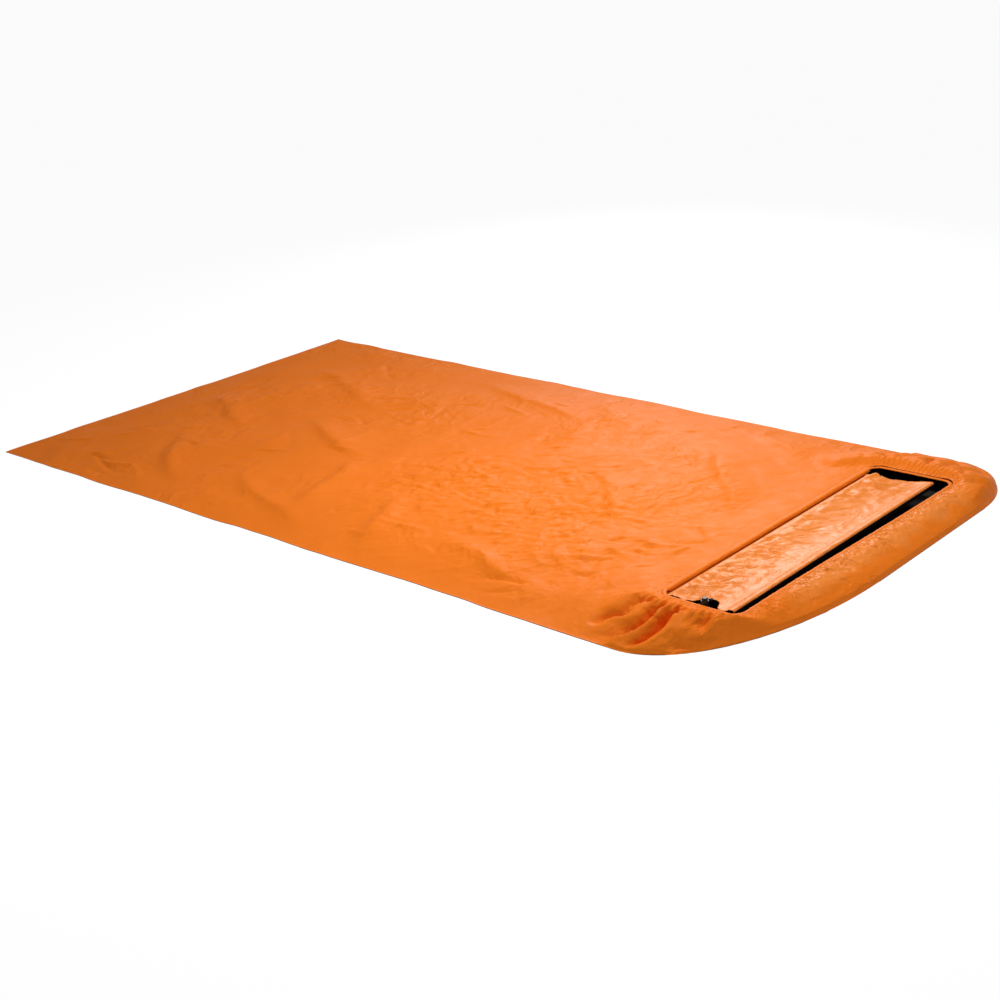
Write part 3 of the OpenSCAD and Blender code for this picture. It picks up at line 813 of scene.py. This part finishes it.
def build_spring(mat):
    """The coil spring between the cord lock's barrel and its plunger."""
    wire = 0.5 * MM
    coil = (spring_hi[0] - spring_lo[0]) / 2 - wire
    turns = 3
    a = np.linspace(0, 2 * math.pi * turns, 24 * turns + 1)
    x = (spring_lo[0] + spring_hi[0]) / 2 + coil * np.cos(a)
    y = (spring_lo[1] + spring_hi[1]) / 2 + coil * np.sin(a)
    path = stacked(x, y, np.linspace(spring_lo[2] + wire, spring_hi[2] - wire, len(a)))
    return tube_object("lock_spring_coil", path, round_ring(wire, 8, len(path)), mat)


def build_flat_tapes(mat):
    """The sealing tapes on the floor sheet, along the seams of its sides, its foot and its head."""
    pieces = []
    width = tape_hi[0] - tape_lo[0]
    from_outline = 17 * MM
    u = np.linspace(0, 1, 5)[:, None]
    for name in ("near_seam_tape", "far_seam_tape", "foot_seam_tape", "head_seam_tape"):
        lo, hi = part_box(name)
        if name == "foot_seam_tape":
            x = lerp(lo[0], hi[0], u)
            y = np.linspace(lo[1], hi[1], 200)
        elif name == "head_seam_tape":
            outer, inner = hood_paths()
            keep = outer[:, 0] > lo[0]
            inward = (inner - outer) / np.linalg.norm(inner - outer, axis=1, keepdims=True)
            points = outer[keep] + inward[keep] * ((from_outline + width * u)[..., None])
            x, y = points[..., 0], points[..., 1]
        else:
            x = np.linspace(lo[0], hi[0], 320)
            y = lerp(lo[1], hi[1], u)
        grid = stacked(x, y, FLOOR_TOP + 0.3 * MM)
        piece = cloth_object(name + "_strip", settle(grid), grid[..., :2], [mat], t=TAPE_T)
        pieces.append((piece, name))
    return pieces


def build_hood_tapes(top_grid, hood_grid, mat):
    """The sealing tapes under the seams between the top sheet and the hood's cheeks."""
    pieces = []
    for name, rows in (("near_hood_seam_tape", hood_grid), ("far_hood_seam_tape", hood_grid[::-1])):
        lo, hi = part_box(name)
        y = np.linspace(lo[1], hi[1], 60)
        side = np.sign(lo[1])
        lines = [r for r in top_grid if lo[0] < r[0, 0] < SEAM_X - 1 * MM]
        lines += [r[np.argsort(r[:, 1])] for r in rows[:40] if r[:, 0].mean() < hi[0]]
        lines = [r[r[:, 1] * side > 0.3] for r in lines]
        grid = np.array([stacked(np.interp(y, r[:, 1], r[:, 0]), y, np.interp(y, r[:, 1], r[:, 2]))
                         for r in lines])
        grid[..., 2] -= 2 * CLOTH_T
        piece = cloth_object(name + "_strip", settle(grid), grid[..., :2], [mat], t=TAPE_T)
        pieces.append((piece, name))
    return pieces


def build_stitching(top_grid, hood_grid, flap_grid, mat):
    """Thread along the seams round the sack, the hem, the hood's lip and the flap's free edge."""
    at_edge = 6 * MM
    x = np.linspace(SEAM_X - at_edge, -HALF_L + at_edge, 500)
    side = stacked(x, -HALF_W + at_edge, SEAM_TOP)
    y = np.linspace(-HALF_W + at_edge, HALF_W - at_edge, 300)
    foot = stacked(-HALF_L + at_edge, y, SEAM_TOP)
    round_sack = settle(np.concatenate([side, foot[1:-1], (side * np.array([1, -1, 1]))[::-1]]))
    perimeter = stitching("perimeter_stitching", round_sack, np.broadcast_to(UP, round_sack.shape), mat)
    by_hem = np.abs(top_grid[-2, :, 1]) < CORNER_Y
    hem = stitching("hem_stitching", settle(top_grid)[-2][by_hem], normals_of(top_grid)[-2][by_hem], mat)
    mid_head = hood_grid[len(hood_grid) // 2, :, :2]
    row = int(np.argmin(np.abs(np.linalg.norm(mid_head - mid_head[-1], axis=1) - at_edge)))
    lip = stitching("lip_stitching", settle(hood_grid)[:, row], normals_of(hood_grid)[:, row], mat)
    row = int(np.argmin(np.abs(flap_grid[:, 0, 0] - RIDGE_X + 12 * MM)))
    flap = stitching("flap_edge_stitching", flap_grid[row], normals_of(flap_grid)[row], mat)
    return perimeter, hem, lip, flap


# ---------------- materials

class Nodes:
    """A material's node tree, with short ways to add and join nodes."""

    def __init__(self, name):
        self.mat = bpy.data.materials.new(name)
        self.mat.use_nodes = True
        self.tree = self.mat.node_tree
        self.shader = self.tree.nodes["Principled BSDF"]

    def join(self, value, socket):
        """Links another node's output to a socket, or sets the socket to a plain value."""
        if isinstance(value, bpy.types.NodeSocket):
            self.tree.links.new(value, socket)
        else:
            socket.default_value = value

    def add(self, kind, values=None, **settings):
        node = self.tree.nodes.new(kind)
        for key, value in settings.items():
            setattr(node, key, value)
        for key, value in (values or {}).items():
            self.join(value, node.inputs[key])
        return node

    def place(self):
        return self.add("ShaderNodeTexCoord").outputs["Object"]

    def math(self, how, a, b):
        return self.add("ShaderNodeMath", {0: a, 1: b}, operation=how).outputs[0]

    def noise(self, place, scale, detail):
        values = {"Vector": place, "Scale": scale, "Detail": detail}
        return self.add("ShaderNodeTexNoise", values).outputs["Fac"]

    def ramp(self, value, lo, hi, out_lo=0.0, out_hi=1.0):
        values = {"Value": value, "From Min": lo, "From Max": hi, "To Min": out_lo, "To Max": out_hi}
        return self.add("ShaderNodeMapRange", values).outputs["Result"]

    def mix(self, share, a, b):
        """A colour between two others. A Mix node's colour sockets come after its other kinds."""
        return self.add("ShaderNodeMix", {0: share, 6: a, 7: b}, data_type="RGBA").outputs[2]

    def bump(self, height, strength, distance, normal=None):
        values = {"Height": height, "Strength": strength, "Distance": distance}
        if normal is not None:
            values["Normal"] = normal
        return self.add("ShaderNodeBump", values).outputs["Normal"]

    def set(self, **values):
        """Sets or links the shader's own sockets, by their names, and gives back the material."""
        sockets = {socket.name.lower().replace(" ", "_"): socket for socket in self.shader.inputs}
        for name, value in values.items():
            self.join(value, sockets[name])
        return self.mat


WAVE_UNIT = 0.314159  # metres in one band of a wave texture at scale 1
WEAVE_PITCH = 1.1 * MM
RIPSTOP_PITCH = 6 * MM
ORANGE = (0.88, 0.196, 0.012)
# The flap's colour, and the hood's near its lip: paler than the shell's orange, painted sheen.
PAINTED_SHEEN_ORANGE = (0.88, 0.245, 0.035)


def scaled(color, k):
    return (*(c * k for c in color), 1)


def fabric(name, color, rough, spec, gloss=None, crinkle=1.0):
    """Coated ripstop nylon: a fine weave, a coarser ripstop grid, crinkles, uneven colour, and a paler
    colour painted as sheen where the cloth shines.

    gloss: one coat for the whole cloth; without it the coat follows each point's own shine.
    crinkle: how strong the crinkles are.
    """
    n = Nodes(name)
    flat = n.add("ShaderNodeAttribute", attribute_name="cloth").outputs["Vector"]
    place = n.place()
    grid = []
    for wave in (WEAVE_PITCH, RIPSTOP_PITCH):
        for turn in (0, math.pi / 2):
            turned = n.add("ShaderNodeMapping", {"Vector": flat, "Rotation": (0, 0, turn)}).outputs["Vector"]
            values = {"Vector": turned, "Scale": WAVE_UNIT / wave, "Distortion": 0.0}
            grid.append(n.add("ShaderNodeTexWave", values, wave_type="BANDS").outputs["Fac"])
    thread = n.math("MULTIPLY", grid[0], grid[1])
    rip = n.math("POWER", n.math("MAXIMUM", grid[2], grid[3]), 30.0)

    bend = n.add("ShaderNodeTexNoise", {"Vector": place, "Scale": 14.0, "Detail": 2.0}).outputs["Color"]
    bend = n.add("ShaderNodeVectorMath", {0: bend, 1: (0.07, 0.07, 0.0)}, operation="MULTIPLY").outputs[0]
    bent = n.add("ShaderNodeVectorMath", {0: place, 1: bend}, operation="ADD").outputs[0]
    facets = []
    for scale, stretch in ((26.0, 0.5), (60.0, 0.6)):
        values = {"Vector": bent, "Rotation": (0, 0, 0.5), "Scale": (1.0, stretch, 1.0)}
        turned = n.add("ShaderNodeMapping", values).outputs["Vector"]
        facets.append(n.add("ShaderNodeTexVoronoi", {"Vector": turned, "Scale": scale}).outputs["Distance"])
    patch = n.ramp(n.noise(place, 2.6, 2), 0.42, 0.62, 0.12, 1.0)
    normal = n.bump(n.math("MULTIPLY", facets[0], patch), 0.8 * crinkle, 0.0065)
    normal = n.bump(n.math("MULTIPLY", facets[1], patch), 0.8 * crinkle, 0.0028, normal)
    normal = n.bump(n.math("ADD", thread, n.math("MULTIPLY", rip, 1.5)), 0.25, 0.00012, normal)

    gloss_and_painted_sheen = n.add("ShaderNodeSeparateXYZ", {"Vector": flat}).outputs["Z"]
    broad = n.ramp(n.noise(place, 1.3, 3), 0.3, 0.7)
    tone = n.mix(broad, scaled(color, 0.95), scaled(color, 1.04))
    # Where the cloth shines its colour is painted paler: painted sheen.
    tone = n.mix(gloss_and_painted_sheen, tone, (*PAINTED_SHEEN_ORANGE, 1))
    tone = n.mix(n.math("MULTIPLY", rip, 0.18), tone, scaled(color, 0.75))
    shine = n.ramp(n.noise(place, 24, 3), 0.3, 0.7, rough - 0.05, rough + 0.06)
    shine = n.math("SUBTRACT", shine, n.math("MULTIPLY", gloss_and_painted_sheen, 0.16))
    coat = n.math("MULTIPLY", gloss_and_painted_sheen, 0.10) if gloss is None else gloss
    return n.set(base_color=tone, roughness=shine, normal=normal, specular_ior_level=spec,
                 coat_weight=coat, coat_roughness=0.25)


def thread(name, color):
    """Twisted sewing thread."""
    n = Nodes(name)
    place = n.place()
    twist = n.add("ShaderNodeTexWave", {"Vector": place, "Scale": 700.0}).outputs["Fac"]
    # The thread's colour follows its twist: painted shade in the grooves between its plies.
    return n.set(base_color=n.mix(twist, scaled(color, 0.7), scaled(color, 1.1)), roughness=0.6,
                 normal=n.bump(twist, 0.4, 0.0001))


def coating(name, color):
    """A dark matte face with fine specks: the seam tapes' own colour, and the cloth's near-black inner face,
    painted shade for the dark inside of the sack.
    """
    n = Nodes(name)
    place = n.place()
    speck = n.noise(place, 300, 3)
    tone = n.mix(speck, scaled(color, 0.8), scaled(color, 1.3))
    return n.set(base_color=tone, roughness=n.ramp(speck, 0.3, 0.7, 0.75, 0.85),
                 normal=n.bump(speck, 0.2, 0.0005), specular_ior_level=0.1)


def plastic(name, color, rough):
    """Moulded plastic with a fine grain and paler scuffs."""
    n = Nodes(name)
    place = n.place()
    grain = n.noise(place, 900, 3)
    scuff = n.ramp(n.noise(place, 60, 4), 0.55, 0.7)
    tone = n.mix(scuff, (*color, 1), scaled(color, 1.8))
    return n.set(base_color=tone, roughness=n.ramp(grain, 0.3, 0.7, rough - 0.06, rough + 0.08),
                 normal=n.bump(grain, 0.15, 0.0003))


def braid(name, color):
    """A braided elastic cord's crossing strands."""
    n = Nodes(name)
    place = n.place()
    strands = []
    for turn in (0.6, -0.6):
        values = {"Vector": place, "Rotation": (turn, turn, turn)}
        turned = n.add("ShaderNodeMapping", values).outputs["Vector"]
        strands.append(n.add("ShaderNodeTexWave", {"Vector": turned, "Scale": 420.0}).outputs["Fac"])
    height = n.math("MAXIMUM", strands[0], strands[1])
    # The strands' colour follows their height: painted shade in the grooves between them and painted light
    # on their crowns.
    tone = n.mix(height, scaled(color, 0.5), scaled(color, 1.6))
    return n.set(base_color=tone, roughness=0.8, normal=n.bump(height, 0.5, 0.0003))


def steel(name):
    """Bright drawn wire."""
    n = Nodes(name)
    place = n.place()
    drawn = n.noise(place, 700, 2)
    return n.set(base_color=n.mix(drawn, (0.5, 0.5, 0.52, 1), (0.65, 0.65, 0.67, 1)), metallic=1.0,
                 roughness=n.ramp(drawn, 0.3, 0.7, 0.25, 0.4))


# ---------------- stage, lights and camera

def build_stage():
    """A pale floor that glows a little, so that it stays white, under an even white sky."""
    far = 30
    corners = np.array([[[-far, -far, 0], [-far, far, 0]], [[far, -far, 0], [far, far, 0]]], float)
    floor = grid_object("stage_floor", corners)
    n = Nodes("stage_white")
    pale = n.set(base_color=(0.15, 0.15, 0.15, 1), roughness=0.9,
                 emission_color=(1, 1, 1, 1), emission_strength=0.90)
    floor.data.materials.append(pale)
    world = bpy.data.worlds.new("sky")
    bpy.context.scene.world = world
    world.use_nodes = True
    sky = world.node_tree.nodes["Background"]
    sky.inputs["Color"].default_value = (1, 1, 1, 1)
    sky.inputs["Strength"].default_value = 0.28


def add_light(name, place, aim, power, **settings):
    data = bpy.data.lights.new(name, "AREA")
    data.energy = power
    for key, value in settings.items():
        setattr(data, key, value)
    lamp = bpy.data.objects.new(name, data)
    lamp.location = place
    lamp.rotation_euler = (Vector(aim) - Vector(place)).to_track_quat("-Z", "Y").to_euler()
    bpy.context.scene.collection.objects.link(lamp)


def build_camera():
    """A camera at a standing person's height, off the sack's near head corner."""
    turn, down, roll = (math.radians(a) for a in (42.03, 21.42, -3.30))
    data = bpy.data.cameras.new("camera")
    data.lens = 59.45
    data.sensor_width = 36
    cam = bpy.data.objects.new("camera", data)
    cam.location = (2.739, -2.968, 1.483)
    look = Euler((math.pi / 2 - down, 0, turn)).to_matrix() @ Euler((0, 0, roll)).to_matrix()
    cam.rotation_euler = look.to_euler()
    bpy.context.scene.collection.objects.link(cam)
    bpy.context.scene.camera = cam


# ---------------- the sack

shell = fabric("shell_nylon", ORANGE, 0.52, spec=0.04)
# The flap's nylon takes the paler orange: painted sheen.
gloss = fabric("flap_nylon", PAINTED_SHEEN_ORANGE, 0.44, gloss=0.05, spec=0.12, crinkle=1.2)
binding = fabric("binding_nylon", ORANGE, 0.55, gloss=0.0, spec=0.10, crinkle=0.4)
# The cloth's inner face is painted near black: painted shade for the inside of the sack, seen through its
# mouth.
inner = coating("inner_coating", (0.02, 0.018, 0.016))
black = plastic("lock_plastic", (0.012, 0.012, 0.013), 0.42)
cord = braid("elastic_cord", (0.02, 0.02, 0.02))
wire = steel("spring_steel")
tape = coating("seam_tape", (0.07, 0.07, 0.075))
yarn = thread("sewing_thread", (0.55, 0.12, 0.015))

build_stage()
add_light("key", (0.58, 0.00, 1.8), aim=(0.25, -0.20, 0), power=28, shape="DISK", size=0.5)
add_light("low_light", (-1.7, 3.4, 1.7), aim=(0.4, -0.3, 0), power=16, shape="DISK", size=0.9,
          spread=math.radians(100))
build_camera()
bpy.context.scene.view_settings.view_transform = "Standard"

top, top_grid = build_top([shell, inner])
hood, hood_grid = build_hood([shell, inner])
# The floor's top lies inside the sack and takes the near-black inner material: painted shade.
floor_sheet = build_floor([inner, shell])
flap, flap_grid = build_flap([gloss, inner])
hood_casing, hem_casing = build_casings(binding)
drawcord = build_drawcord(cord)
spring = build_spring(wire)
flat_tapes = build_flat_tapes(tape)
hood_tapes = build_hood_tapes(top_grid, hood_grid, tape)
perimeter, hem_thread, lip_thread, flap_thread = build_stitching(top_grid, hood_grid, flap_grid, yarn)

standing_for = [(top, "top_panel", "shell_fabric"), (hood, "hood_panel", "shell_fabric"),
                (floor_sheet, "floor_panel", "shell_fabric"), (hood_casing, "hood_casing", "binding"),
                (hem_casing, "hem_casing", "binding"), (drawcord, "drawcord", "cord")]
standing_for += [(piece, node, "seam_tape") for piece, node in flat_tapes + hood_tapes]
for piece, node, slot in standing_for:
    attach(piece, "sack")
    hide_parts(node)
for piece, body in ((perimeter, "sack"), (hem_thread, "sack"), (lip_thread, "sack"), (flap_thread, "flap")):
    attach(piece, body)
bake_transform(flap)
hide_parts("storm_flap")
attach(spring, "cord_lock")
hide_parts("cord_lock_spring")
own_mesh(spring)

node_looks = {"flap_edge_elastic": cord, "flap_root_tape": binding}
for node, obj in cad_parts.items():
    obj.data.materials.clear()
    obj.data.materials.append(node_looks.get(node, black))
